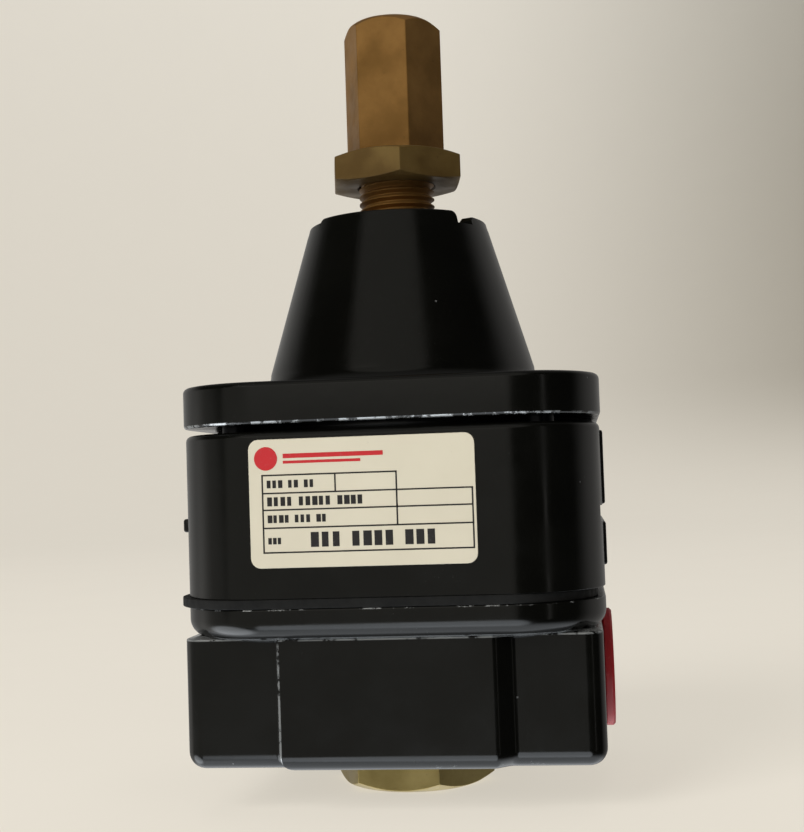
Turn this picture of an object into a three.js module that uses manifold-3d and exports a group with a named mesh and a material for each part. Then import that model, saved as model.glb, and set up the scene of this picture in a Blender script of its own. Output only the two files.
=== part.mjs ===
// Pilot-operated air pressure regulator with a square cast body, a cone-shaped bonnet and a
// brass adjusting screw. Millimetres, +Z up along the adjusting screw, +X towards the outlet port,
// -Y towards the labelled front. The origin is the centre of the bottom plug's flat end.

import * as THREE from 'three';
import { mergeVertices } from 'three/addons/utils/BufferGeometryUtils.js';
import Module from 'manifold-3d';

const wasm = await Module();
wasm.setup();

// ---------- Driving dimensions ----------

const GAP = 0.02; // between faces that rest on each other
const RUN = 0.06; // between a moving piece and its guide
const CUT = 1; // how far a cutting tool runs past the face it opens

// Levels along the axis, from the bottom plug upwards
const BLOCK_BOTTOM = 6;
const SHOULDER_BOTTOM = 22.95; // top of the block
const SHOULDER_TOP = 25.3; // end of the rounding that leads out to the joint
const JOINT_LOW = 27; // lower body meets the relay diaphragm
const JOINT_HIGH = 28.25; // relay diaphragm meets the middle body
const MIDDLE_TOP = 49.6;
const FLANGE_BOTTOM = 50.5;
const FLANGE_TOP = 56;
const BONNET_TOP = 78.45;
const RIM_TOP = 80.2;
const NUT_BOTTOM = 85.7;
const NUT_TOP = 90;
const SCREW_TOP = 110.2;

// Plan outlines
const BODY_HALF = 27.8;
const FLANGE_HALF = 28;
const CORNER_RADIUS = 12;
const BLOCK_HALF_X = 27.2;
const BLOCK_HALF_Y = 23.7;
const BLOCK_CORNER = 2.2;
const SLAB_HALF_X = 14.4;
const SLAB_HALF_Y = 25.5;

// Bonnet cone
const CONE_FOOT_RADIUS = 19.9;
const CONE_TOP_RADIUS = 13.25;
const CONE_WALL = 2.6;
const BONNET_ROOF = 75;
const DOME_RADIUS = 17.5; // clear space over the control diaphragm

// Adjusting screw and lock nut, 7/16 inch with 24 threads to the inch
const SCREW_RADIUS = 5.5;
const SCREW_TIP = 71;
const SCREW_HEX = 12.7;
const NUT_HEX = 18.03;
const HEX_TURN = -7; // degrees from the front to the nearest flat
const NUT_TURN = 40;
const PLUG_HEX = 20;

// Ports, a quarter-inch parallel pipe thread on each side
const PORT_Z = 15.5;
const PORT_RADIUS = 5.72;
const PORT_END = 14; // distance from the axis to the end of the thread
const PORT_MOUTH = 6.8;
const PORT_PLUG_FLANGE = 8.2;
const GAUGE_RADIUS = 4.3;
const GAUGE_END = 15;

// Corner screws
const SCREW_SPREAD = 20;
const CORNER_SHANK = 1.95;
const CORNER_HEAD = 3.3;
const CORNER_SEAT = 52.4;
const CORNER_TIP = 13;

// Chambers
const RELAY_RADIUS = 15;
const RELAY_FLOOR = 22.3;
const RELAY_ROOF = 34;
const CONTROL_RADIUS = 20;
const CONTROL_FLOOR = 45.8;
const INLET_FLOOR = 11.5;
const INLET_ROOF = 17.5;
const INLET_RADIUS = 6.2;
const SEAT_RADIUS = 3.2;
const SENSE_X = 18.5; // pressure-sensing and pilot-supply drillings
const RESTRICTOR_X = -9;
const SUPPLY_Z = 38;
const VENT_Z = 60;
const VENT_RADIUS = 0.9;

// Diaphragms and the plates on them
const SHEET_HOLE = 4.3;
const CONTROL_SHEET = 27.4;
const RELAY_SHIFT = -0.95; // the relay diaphragm was clamped a little off centre
const HUB_RADIUS = 3.5;
const HUB_THREAD = 2;

// Label
const LABEL_LEFT = -16.7;
const LABEL_RIGHT = 12.1;
const LABEL_LOW = 32.2;
const LABEL_HIGH = 48.5;
const LABEL_CORNER = 1.4;
const LABEL_THICK = 0.25;

// ---------- Finishes ----------

const finish = (color, roughness, metalness) =>
  new THREE.MeshStandardMaterial({ color, roughness, metalness });

const blackPaint = finish(0x121413, 0.35, 0.1);
const oldBrass = finish(0x8a6430, 0.38, 1);
const paleBrass = finish(0xa98f52, 0.35, 1);
const freshBrass = finish(0xb98f45, 0.3, 1);
const steel = finish(0x9a9c9e, 0.32, 1);
const blackSteel = finish(0x222326, 0.4, 0.8);
const springSteel = finish(0x6d6f72, 0.3, 1);
const aluminium = finish(0xb6b9bb, 0.35, 1);
const rubber = finish(0x1b1b1c, 0.7, 0);
const redPlastic = finish(0xa8202c, 0.45, 0);
const labelFilm = finish(0xd9d2bb, 0.5, 0);

// ---------- Solids ----------

function toSolid(geometry) {
  const bare = geometry.clone();
  bare.deleteAttribute('normal');
  bare.deleteAttribute('uv');
  const merged = mergeVertices(bare, 1e-5);
  const numbers = new Float32Array(merged.attributes.position.array);
  const triangles = new Uint32Array(merged.index.array);
  if (signedVolume(numbers, triangles) < 0) {
    for (let i = 0; i < triangles.length; i += 3) {
      [triangles[i], triangles[i + 1]] = [triangles[i + 1], triangles[i]];
    }
  }
  return new wasm.Manifold(new wasm.Mesh({ numProp: 3, vertProperties: numbers, triVerts: triangles }));
}

function signedVolume(numbers, triangles) {
  const corner = (i) => new THREE.Vector3().fromArray(numbers, 3 * triangles[i]);
  let volume = 0;
  for (let i = 0; i < triangles.length; i += 3) {
    volume += corner(i).dot(corner(i + 1).cross(corner(i + 2))) / 6;
  }
  return volume;
}

function toGeometry(solid) {
  const mesh = solid.getMesh();
  const flat = [];
  for (const vertex of mesh.triVerts) {
    const start = vertex * mesh.numProp;
    flat.push(...mesh.vertProperties.subarray(start, start + 3));
  }
  const geometry = new THREE.BufferGeometry();
  geometry.setAttribute('position', new THREE.Float32BufferAttribute(flat, 3));
  geometry.computeVertexNormals();
  return geometry;
}

const join = (...solids) => solids.reduce((all, next) => all.add(next));
const cut = (solid, ...tools) => tools.reduce((rest, tool) => rest.subtract(tool), solid);

function turned(profile, segments = 36) {
  const points = profile.map(([radius, z]) => new THREE.Vector2(radius, z));
  return toSolid(new THREE.LatheGeometry(points, segments).rotateX(Math.PI / 2));
}

const rod = (radius, low, high, segments = 24) =>
  turned([[0, low], [radius, low], [radius, high], [0, high]], segments);

const ring = (inner, outer, low, high, segments = 24) =>
  turned([[inner, low], [outer, low], [outer, high], [inner, high], [inner, low]], segments);

function rodAt(x, y, radius, low, high, segments = 12) {
  return rod(radius, low, high, segments).translate([x, y, 0]);
}

// A rod along the X axis at the height of the ports
function rodAlongX(radius, from, to, segments = 24) {
  const low = Math.min(from, to);
  const high = Math.max(from, to);
  return rod(radius, low, high, segments).rotate([0, 90, 0]);
}

function extrude(shape, low, high, curveSegments = 6) {
  const depth = high - low;
  const geometry = new THREE.ExtrudeGeometry(shape, { depth, bevelEnabled: false, curveSegments });
  return toSolid(geometry.translate(0, 0, low));
}

function box(low, high) {
  const size = high.map((value, i) => value - low[i]);
  const geometry = new THREE.BoxGeometry(...size);
  return toSolid(geometry.translate(...low.map((value, i) => value + size[i] / 2)));
}

function roundedOutline(halfX, halfY, radius) {
  const shape = new THREE.Shape();
  const innerX = halfX - radius;
  const innerY = halfY - radius;
  const corners = [[innerX, -innerY], [innerX, innerY], [-innerX, innerY], [-innerX, -innerY]];
  shape.moveTo(-innerX, -halfY);
  corners.forEach(([x, y], i) => {
    const start = (i - 1) * Math.PI / 2;
    shape.absarc(x, y, radius, start, start + Math.PI / 2, false);
  });
  return shape;
}

function hexagon(acrossFlats, turn) {
  const shape = new THREE.Shape();
  const radius = acrossFlats / Math.sqrt(3);
  for (let i = 0; i < 6; i += 1) {
    const angle = THREE.MathUtils.degToRad(turn - 90 + 30 + 60 * i);
    const x = radius * Math.cos(angle);
    const y = radius * Math.sin(angle);
    if (i === 0) shape.moveTo(x, y);
    else shape.lineTo(x, y);
  }
  return shape;
}

// A hexagonal bar whose ends are turned to a shallow cone
function hexBar(acrossFlats, turn, low, high, chamferLow, chamferHigh) {
  const corner = acrossFlats / Math.sqrt(3) + 0.1;
  const face = acrossFlats / 2 - 0.4;
  const envelope = turned([
    [0, low], [face, low], [corner, low + chamferLow],
    [corner, high - chamferHigh], [face, high], [0, high],
  ], 36);
  return extrude(hexagon(acrossFlats, turn), low, high).intersect(envelope);
}

class Helix extends THREE.Curve {
  constructor(radius, low, high, turns) {
    super();
    Object.assign(this, { radius, low, high, turns });
  }

  getPoint(t, target = new THREE.Vector3()) {
    const angle = 2 * Math.PI * this.turns * t;
    const z = this.low + (this.high - this.low) * t;
    return target.set(this.radius * Math.cos(angle), this.radius * Math.sin(angle), z);
  }
}

function coilSpring(radius, wire, low, high, turns) {
  const section = new THREE.Shape();
  section.absarc(0, 0, wire, 0, 2 * Math.PI, false);
  const path = new Helix(radius, low + wire, high - wire, turns);
  const options = { extrudePath: path, steps: turns * 11, curveSegments: 3, bevelEnabled: false };
  return toSolid(new THREE.ExtrudeGeometry(section, options));
}

const screwPlaces = [[-1, -1], [1, -1], [1, 1], [-1, 1]].map(([x, y]) => [x * SCREW_SPREAD, y * SCREW_SPREAD]);
const cornerHoles = (radius, low, high) =>
  screwPlaces.map(([x, y]) => rodAt(x, y, radius, low, high));

// ---------- Castings ----------

function lowerBody() {
  const block = extrude(roundedOutline(BLOCK_HALF_X, BLOCK_HALF_Y, BLOCK_CORNER), BLOCK_BOTTOM, SHOULDER_BOTTOM, 3);
  const slab = extrude(roundedOutline(SLAB_HALF_X, SLAB_HALF_Y, 1), BLOCK_BOTTOM, SHOULDER_BOTTOM, 2);
  return cut(join(block, slab, shoulder()), ...lowerChambers(), ...portHoles(), ...lowerDrillings());
}

// The wide ring under the joint, rounded in to the narrower block
function shoulder() {
  const round = SHOULDER_TOP - SHOULDER_BOTTOM;
  const outline = roundedOutline(BODY_HALF - round, BODY_HALF - round, CORNER_RADIUS - round);
  const depth = 2 * (JOINT_LOW - SHOULDER_TOP);
  const options = { depth, bevelThickness: round, bevelSize: round, bevelSegments: 3, curveSegments: 4 };
  const tub = toSolid(new THREE.ExtrudeGeometry(outline, options).translate(0, 0, SHOULDER_TOP));
  const above = box([-40, -40, JOINT_LOW], [40, 40, JOINT_LOW + 20]);
  return tub.subtract(above);
}

function lowerChambers() {
  return [
    rod(9.2, BLOCK_BOTTOM - CUT, BLOCK_BOTTOM + 1.7), // seat of the plug's seal
    rod(7.7, BLOCK_BOTTOM, INLET_FLOOR + 1),
    rod(INLET_RADIUS, INLET_FLOOR, INLET_ROOF),
    rod(SEAT_RADIUS, INLET_ROOF - CUT, RELAY_FLOOR + CUT, 24),
    rod(RELAY_RADIUS, RELAY_FLOOR, JOINT_LOW + CUT),
  ];
}

function portHoles() {
  const outer = BLOCK_HALF_X + CUT;
  const tools = [];
  for (const side of [-1, 1]) {
    tools.push(rodAlongX(PORT_RADIUS, side * PORT_END, side * outer));
    tools.push(rodAlongX(PORT_MOUTH, side * (BLOCK_HALF_X - 0.8), side * outer));
  }
  tools.push(rodAlongX(2.5, -PORT_END - CUT, -INLET_RADIUS + CUT, 16));
  tools.push(rodAlongX(2.5, PORT_END + CUT, 11.5, 16));
  return tools.map((tool) => tool.translate([0, 0, PORT_Z]));
}

function lowerDrillings() {
  const gauge = rod(GAUGE_RADIUS, GAUGE_END, SLAB_HALF_Y + CUT, 24).rotate([-90, 0, 0]);
  return [
    gauge.translate([0, 0, PORT_Z]),
    rodAt(0, GAUGE_END - 2, 1.2, PORT_Z, RELAY_FLOOR + CUT, 12),
    rod(1.2, GAUGE_END - 2, GAUGE_END + CUT, 12).rotate([-90, 0, 0]).translate([0, 0, PORT_Z]),
    rodAt(12.5, 0, 2.2, PORT_Z, RELAY_FLOOR + CUT),
    rodAt(SENSE_X, 0, 1, PORT_Z, JOINT_LOW + CUT, 12),
    rodAt(-SENSE_X, 0, 1, PORT_Z, JOINT_LOW + CUT, 12),
    ...cornerHoles(CORNER_SHANK + 0.15, CORNER_TIP - 0.5, JOINT_LOW + CUT),
  ];
}

function middleBody() {
  const outline = roundedOutline(BODY_HALF, BODY_HALF, CORNER_RADIUS);
  const casting = extrude(outline, JOINT_HIGH, MIDDLE_TOP);
  const lug = box([-BODY_HALF - 0.55, -17, 36.7], [-BODY_HALF + CUT, 17, 38.5]);
  const pads = [[30.8, 36.5], [38.8, 48.6]].map(
    ([low, high]) => box([BODY_HALF - CUT, -15, low], [BODY_HALF + 0.4, 15, high]),
  );
  const pocket = box([BODY_HALF - 0.6, -18.5, 36.6], [BODY_HALF + CUT, 18.5, 38.7]);
  return cut(
    join(casting, lug, ...pads),
    pocket,
    rod(CONTROL_RADIUS, CONTROL_FLOOR, MIDDLE_TOP + CUT),
    rod(RELAY_RADIUS, JOINT_HIGH - CUT, RELAY_ROOF),
    rod(2.6, RELAY_ROOF - CUT, CONTROL_FLOOR + CUT, 24),
    rodAt(SENSE_X, 0, 1, JOINT_HIGH - CUT, CONTROL_FLOOR + CUT, 12),
    rodAt(-SENSE_X, 0, 1, JOINT_HIGH - CUT, SUPPLY_Z + 0.5, 12),
    rodAlongX(0.8, -SENSE_X - 0.5, RESTRICTOR_X + 0.5, 12).translate([0, 0, SUPPLY_Z]),
    rodAt(RESTRICTOR_X, 0, 1.7, RELAY_ROOF - CUT, SUPPLY_Z, 16),
    ...cornerHoles(CORNER_SHANK + 0.35, JOINT_HIGH - CUT, MIDDLE_TOP + CUT),
  );
}

function bonnet() {
  const outline = roundedOutline(FLANGE_HALF, FLANGE_HALF, CORNER_RADIUS);
  const flange = extrude(outline, FLANGE_BOTTOM, FLANGE_TOP);
  const cone = turned([
    [0, FLANGE_TOP - CUT], [CONE_FOOT_RADIUS + 0.4, FLANGE_TOP - CUT], [CONE_FOOT_RADIUS, FLANGE_TOP],
    [CONE_TOP_RADIUS, BONNET_TOP], [0, BONNET_TOP],
  ]);
  const inside = turned([
    [0, FLANGE_BOTTOM - CUT], [DOME_RADIUS, FLANGE_BOTTOM - CUT], [DOME_RADIUS, FLANGE_TOP],
    [CONE_TOP_RADIUS - CONE_WALL, BONNET_ROOF], [0, BONNET_ROOF],
  ]);
  const vent = rod(VENT_RADIUS, 0, FLANGE_HALF, 12).rotate([-90, 0, 0]).translate([0, 0, VENT_Z]);
  return cut(
    join(flange, cone, ...rimTeeth()),
    inside,
    vent,
    rod(runningBore(SCREW_RADIUS, 36), BONNET_ROOF - CUT, RIM_TOP + CUT, 36),
    ...cornerHoles(CORNER_SHANK + 0.35, FLANGE_BOTTOM - CUT, CORNER_SEAT),
    ...cornerHoles(CORNER_HEAD + 0.3, CORNER_SEAT - 0.1, FLANGE_TOP + CUT),
  );
}

// Raised arcs on the bonnet's flat top: [from, to] in degrees from the front, and the height
function rimTeeth() {
  const low = RIM_TOP - 0.5;
  const arcs = [[-51, 46.5, RIM_TOP], [60, 129, low], [129, 226.5, RIM_TOP], [240, 309, low]];
  const outer = CONE_TOP_RADIUS - 0.2;
  return arcs.map(([from, to, top]) => {
    const shape = new THREE.Shape();
    const start = THREE.MathUtils.degToRad(from - 90);
    const end = THREE.MathUtils.degToRad(to - 90);
    shape.absarc(0, 0, outer, start, end, false);
    shape.absarc(0, 0, outer - 2.2, end, start, true);
    return extrude(shape, BONNET_TOP - CUT / 2, top, 6);
  });
}

// Radius of a faceted bore that a faceted shaft of this radius can turn in
function runningBore(shaft, segments) {
  return (shaft + RUN) / Math.cos(Math.PI / segments);
}

// ---------- Adjusting end ----------

function adjustingScrew() {
  const head = hexBar(SCREW_HEX, HEX_TURN, NUT_TOP + GAP, SCREW_TOP, 0.3, 1.8);
  const dome = turned([[0, NUT_TOP], [8, NUT_TOP], [8, SCREW_TOP - 0.9], [5, SCREW_TOP], [0, SCREW_TOP]], 36);
  const shank = turned([
    [0, SCREW_TIP], [SCREW_RADIUS - 1.2, SCREW_TIP], [SCREW_RADIUS, SCREW_TIP + 1.2],
    [SCREW_RADIUS, NUT_TOP + CUT], [0, NUT_TOP + CUT],
  ]);
  return join(head.intersect(dome), shank);
}

function lockNut() {
  const body = hexBar(NUT_HEX, NUT_TURN, NUT_BOTTOM, NUT_TOP, 0.5, 0.7);
  return cut(body, rod(runningBore(SCREW_RADIUS, 36), NUT_BOTTOM - CUT, NUT_TOP + CUT, 36));
}

function springRest() {
  const top = SCREW_TIP - GAP;
  return turned([
    [0, top - 5], [4.6, top - 5], [5.2, top - 4.2], [5.2, top - 3], [8.6, top - 3],
    [8.6, top - 0.4], [8.2, top], [0, top],
  ], 24);
}

// ---------- Diaphragms ----------

function controlDiaphragm() {
  const low = MIDDLE_TOP + GAP;
  const high = FLANGE_BOTTOM - GAP;
  const holes = [...cornerHoles(CORNER_SHANK + 0.35, low - CUT, high + CUT)];
  return cut(ring(SHEET_HOLE, CONTROL_SHEET, low, high, 40), ...holes);
}

function relayDiaphragm() {
  const low = JOINT_LOW + GAP;
  const high = JOINT_HIGH - GAP;
  const sheet = extrude(roundedOutline(BODY_HALF, BODY_HALF, CORNER_RADIUS), low, high);
  return cut(
    sheet.translate([RELAY_SHIFT, 0, 0]),
    rod(SHEET_HOLE, low - CUT, high + CUT, 24),
    rodAt(SENSE_X, 0, 1, low - CUT, high + CUT, 12),
    rodAt(-SENSE_X, 0, 1, low - CUT, high + CUT, 12),
    ...cornerHoles(CORNER_SHANK + 0.35, low - CUT, high + CUT),
  );
}

// The four pieces that grip a diaphragm's centre. The hub hangs from its nut.
const controlStack = { hubLow: 47.4, plateLow: 48.1, plateHigh: 51.2, bleed: 0 };
const relayStack = { hubLow: 23.6, plateLow: 24.9, plateHigh: 29.6, bleed: 1 };
const PLATE_RADIUS = 11.5;
const PLATE = 1;
const STACK_NUT = 1.6;

function stackHub({ hubLow, plateHigh, bleed }) {
  const step = plateHigh - 2 * GAP;
  const top = plateHigh + PLATE + STACK_NUT + 0.3;
  const hub = turned([
    [0, hubLow], [HUB_RADIUS, hubLow], [HUB_RADIUS, step], [HUB_THREAD, step], [HUB_THREAD, top], [0, top],
  ]);
  return bleed ? cut(hub, rod(bleed, hubLow - CUT, hubLow + 2, 12)) : hub;
}

const stackLowerPlate = ({ plateLow }) =>
  ring(HUB_RADIUS + 2 * GAP, PLATE_RADIUS, plateLow, plateLow + PLATE);

const stackUpperPlate = ({ plateHigh }) =>
  ring(HUB_THREAD + 2 * GAP, PLATE_RADIUS, plateHigh, plateHigh + PLATE);

function stackNut({ plateHigh }) {
  const low = plateHigh + PLATE + GAP;
  const nut = extrude(hexagon(7, 0), low, low + STACK_NUT);
  return cut(nut, rod(HUB_THREAD + 2 * GAP, low - CUT, low + STACK_NUT + CUT));
}

// ---------- Pilot ----------

function pilotNozzle() {
  const low = RELAY_ROOF + 2;
  const foot = CONTROL_FLOOR + GAP;
  const nozzle = turned([
    [0, low], [2.5, low], [2.5, foot], [3.6, foot], [3.6, foot + 0.5], [1.1, foot + 1.1], [0, foot + 1.1],
  ], 24);
  return cut(nozzle, rod(0.45, low - CUT, foot + 2, 12));
}

function pilotRestrictor() {
  const high = SUPPLY_Z - 1.2;
  const plug = rodAt(RESTRICTOR_X, 0, 1.6, RELAY_ROOF + 0.2, high, 16);
  return cut(plug, rodAt(RESTRICTOR_X, 0, 0.3, RELAY_ROOF - CUT, high + CUT, 8));
}

// ---------- Main valve ----------

function mainValve() {
  return turned([
    [0, 11], [2.2, 11], [2.2, 14.6], [4.2, 14.6], [4.2, 16.4], [1.3, 16.4], [1.3, 23.4], [0, 23.4],
  ], 24);
}

const valveDisc = () => ring(1.3 + GAP, 4.2, 16.4 + GAP, 17.3, 24);

function bottomPlug() {
  const hex = hexBar(PLUG_HEX, HEX_TURN, 0, BLOCK_BOTTOM - GAP, 1.3, 0.2);
  const shank = rod(7.4, BLOCK_BOTTOM - CUT, INLET_FLOOR - 0.2);
  const flat = rod(7.2, 0, 1);
  return cut(join(hex, shank, flat), rod(3.9, 4.6, INLET_FLOOR + CUT, 24));
}

function plugSeal() {
  const section = new THREE.Shape();
  const wire = 0.7;
  const points = section.absarc(8.25, BLOCK_BOTTOM + 0.85, wire, 0, 2 * Math.PI, false).getPoints(4);
  return turned(points.map((point) => [point.x, point.y]), 24);
}

// ---------- Outside fittings ----------

function cornerScrew(x, y) {
  const headTop = CORNER_SEAT + 3.3;
  const body = join(
    rod(CORNER_SHANK, CORNER_TIP, CORNER_SEAT + CUT, 12),
    rod(CORNER_HEAD, CORNER_SEAT + GAP, headTop, 16),
  );
  const socket = extrude(hexagon(3, 0), headTop - 1.8, headTop + CUT);
  return cut(body, socket).translate([x, y, 0]);
}

function ratingLabel() {
  const halfX = (LABEL_RIGHT - LABEL_LEFT) / 2;
  const halfZ = (LABEL_HIGH - LABEL_LOW) / 2;
  const sheet = extrude(roundedOutline(halfX, halfZ, LABEL_CORNER), 0, LABEL_THICK, 4);
  const middle = [(LABEL_LEFT + LABEL_RIGHT) / 2, -BODY_HALF - GAP, (LABEL_LOW + LABEL_HIGH) / 2];
  return sheet.rotate([90, 0, 0]).translate(middle);
}

// A push-in transit plug: a thin flange and a hollow tapered neck
function outletPortPlug() {
  const face = BLOCK_HALF_X + 0.1;
  const plug = turned([
    [0, face - 8], [4.9, face - 8], [5.45, face - 0.9], [5.45, face], [PORT_PLUG_FLANGE, face],
    [PORT_PLUG_FLANGE, face + 1.4], [4.3, face + 1.4], [3.9, face - 7], [0, face - 7],
  ], 36);
  return plug.rotate([0, 90, 0]).translate([0, 0, PORT_Z]);
}

function gaugePortPlug() {
  const plug = rod(GAUGE_RADIUS - 0.12, GAUGE_END + 2, SLAB_HALF_Y - 0.3, 24);
  const socket = extrude(hexagon(5, 0), SLAB_HALF_Y - 4, SLAB_HALF_Y + CUT);
  return cut(plug, socket).rotate([-90, 0, 0]).translate([0, 0, PORT_Z]);
}

// ---------- Assembly ----------

const regulator = new THREE.Group();

function add(name, solid, material) {
  const mesh = new THREE.Mesh(toGeometry(solid), material);
  mesh.name = name;
  regulator.add(mesh);
}

add('lower_body', lowerBody(), blackPaint);
add('middle_body', middleBody(), blackPaint);
add('bonnet', bonnet(), blackPaint);
add('rating_label', ratingLabel(), labelFilm);

add('bottom_plug', bottomPlug(), paleBrass);
add('bottom_plug_seal', plugSeal(), rubber);
add('main_valve', mainValve(), freshBrass);
add('valve_disc', valveDisc(), rubber);
add('valve_spring', coilSpring(2.9, 0.35, 4.7, 14.4, 6), springSteel);

add('relay_diaphragm', relayDiaphragm(), rubber);
add('relay_hub', stackHub(relayStack), freshBrass);
add('relay_lower_plate', stackLowerPlate(relayStack), aluminium);
add('relay_upper_plate', stackUpperPlate(relayStack), aluminium);
add('relay_nut', stackNut(relayStack), steel);

add('pilot_nozzle', pilotNozzle(), freshBrass);
add('pilot_restrictor', pilotRestrictor(), freshBrass);

add('control_diaphragm', controlDiaphragm(), rubber);
add('control_hub', stackHub(controlStack), freshBrass);
add('control_lower_plate', stackLowerPlate(controlStack), aluminium);
add('control_upper_plate', stackUpperPlate(controlStack), aluminium);
add('control_nut', stackNut(controlStack), steel);

add('range_spring', coilSpring(6.7, 0.6, 52.4, 67.9, 7), springSteel);
add('spring_rest', springRest(), steel);
add('adjusting_screw', adjustingScrew(), oldBrass);
add('lock_nut', lockNut(), oldBrass);

screwPlaces.forEach(([x, y], i) => add(`corner_screw_${i + 1}`, cornerScrew(x, y), blackSteel));
add('gauge_port_plug', gaugePortPlug(), steel);
add('outlet_port_plug', outletPortPlug(), redPlastic);

export default regulator;
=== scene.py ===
"""Looks for the air pressure regulator: castings, threads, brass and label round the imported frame.

Shapes are worked out in millimetres in the part's own frame and written to the meshes in metres.
"""
import math
import random

import bmesh
import bpy
from mathutils import Matrix, Vector


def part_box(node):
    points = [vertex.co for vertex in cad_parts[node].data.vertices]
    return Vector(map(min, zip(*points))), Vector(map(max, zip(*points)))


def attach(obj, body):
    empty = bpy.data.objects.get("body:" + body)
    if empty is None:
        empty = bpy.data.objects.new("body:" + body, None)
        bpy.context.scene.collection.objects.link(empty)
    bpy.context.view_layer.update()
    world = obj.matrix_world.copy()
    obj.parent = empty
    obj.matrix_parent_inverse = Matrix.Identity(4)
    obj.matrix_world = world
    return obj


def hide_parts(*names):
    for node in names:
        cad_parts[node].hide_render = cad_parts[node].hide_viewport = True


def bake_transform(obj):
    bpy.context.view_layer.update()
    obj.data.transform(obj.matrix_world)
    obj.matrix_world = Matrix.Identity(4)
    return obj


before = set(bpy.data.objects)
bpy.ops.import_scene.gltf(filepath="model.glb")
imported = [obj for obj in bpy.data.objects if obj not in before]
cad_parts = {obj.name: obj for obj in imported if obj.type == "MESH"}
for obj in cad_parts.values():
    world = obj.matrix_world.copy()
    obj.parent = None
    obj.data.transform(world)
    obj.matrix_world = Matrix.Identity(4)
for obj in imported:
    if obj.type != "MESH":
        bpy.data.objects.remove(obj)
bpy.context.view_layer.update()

MM = 0.001
X, Y, Z = 0, 1, 2
QUARTER_TURN = math.pi / 2
scene = bpy.context.scene
random.seed(7)


def span(node, axis):
    """Lowest and highest place of a CAD node along an axis, in millimetres."""
    low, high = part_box(node)
    return low[axis] / MM, high[axis] / MM


def middle(node, axis):
    return sum(span(node, axis)) / 2


def half_width(node, axis):
    low, high = span(node, axis)
    return (high - low) / 2


# ---------- Sizes read from the frame ----------

BLOCK_BOTTOM, JOINT_LOW = span("lower_body", Z)
JOINT_HIGH, MIDDLE_TOP = span("middle_body", Z)
FLANGE_BOTTOM, RIM_TOP = span("bonnet", Z)
BODY_HALF = span("lower_body", Y)[1]
FLANGE_HALF = span("bonnet", X)[1]
NUT_BOTTOM, NUT_TOP = span("lock_nut", Z)
SCREW_TIP, SCREW_TOP = span("adjusting_screw", Z)
PLUG_SHANK_TOP = span("bottom_plug", Z)[1]
LABEL_X = span("rating_label", X)
LABEL_Z = span("rating_label", Z)
LABEL_FACE, LABEL_BACK = span("rating_label", Y)
PORT_Z = middle("outlet_port_plug", Z)
PORT_PLUG_RADIUS = half_width("outlet_port_plug", Z)
PORT_PLUG_X = span("outlet_port_plug", X)
SCREW_SPREAD = middle("corner_screw_3", X)
HEAD_RADIUS = half_width("corner_screw_3", X)
HEAD_TOP = span("corner_screw_3", Z)[1]

# ---------- Sizes that repeat the design ----------

SQUARE_SIGNS = ((-1, -1), (1, -1), (1, 1), (-1, 1))
CORNER_RADIUS = 12
FLANGE_TOP = 56
SHOULDER_BOTTOM = 22.95
SHOULDER_TOP = 25.3
SHOULDER_ROUND = SHOULDER_TOP - SHOULDER_BOTTOM
BLOCK_HALF_X = 27.2
BLOCK_HALF_Y = 23.7
BLOCK_CORNER = 2.4
BLOCK_UNDER_EDGE = 2.2
SLAB_HALF_X = 14.4
SLAB_HALF_Y = 25.5
SLAB_RIGHT_SLOPE = (-0.7, 1.3)  # where the slab's sloping right side starts and ends
CONE_FOOT = 19.9
CONE_TOP = 13.25
BONNET_TOP = 78.45
CONE_SLOPE = (CONE_FOOT - CONE_TOP) / (BONNET_TOP - FLANGE_TOP)
CONE_FILLET = (1.6, 2.6)  # how wide and how tall the curve at the cone's foot is
SCREW_RADIUS = 5.5
SCREW_THREAD_DEPTH = 0.6
THREAD_PITCH = 25.4 / 24
SCREW_HEX = 12.7
NUT_HEX = 18.03
PLUG_HEX = 20
HEX_TURN = -7
NUT_TURN = 40
PORT_RADIUS = 5.72
PORT_THREAD_DEPTH = 0.78
PORT_THREAD_PITCH = 1.337
PORT_END = 14
GAUGE_RADIUS = 4.3
VENT_Z = 60
VENT_RADIUS = 0.9
RIB_HALF = 17
RIB_Z = (36.7, 38.5)
PAD_HALF = 15
PAD_Z = ((30.8, 36.5), (38.8, 48.6))
HUB_HOLE_RADIUS = 4.3
SCREW_SEAT = 52.42
SCREW_HOLE_SEAT = 52.3

TOOTH_LOW_STEP = 0.5
TOOTH_THINNER = 0.04  # keeps the low teeth's faces clear of the high teeth's
TOOTH_WIDTH = 2.4
TOOTH_PROUD = 0.01
TOOTH_ROOT = 0.5
TOOTH_TOP_ROUND = 0.3
TOOTH_END_ROUND = 0.7


# ---------- Mesh building ----------

def mesh_object(name, vertices, faces):
    mesh = bpy.data.meshes.new(name)
    mesh.from_pydata([Vector(v) * MM for v in vertices], [], faces)
    obj = bpy.data.objects.new(name, mesh)
    scene.collection.objects.link(obj)
    tidy(obj, 0.0005)
    return obj


def tidy(obj, distance):
    """Merges vertices closer than distance in millimetres and points every face outwards."""
    work = bmesh.new()
    work.from_mesh(obj.data)
    bmesh.ops.remove_doubles(work, verts=work.verts, dist=distance * MM)
    bmesh.ops.dissolve_degenerate(work, edges=work.edges, dist=distance * MM)
    bmesh.ops.recalc_face_normals(work, faces=work.faces)
    work.to_mesh(obj.data)
    work.free()


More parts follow.
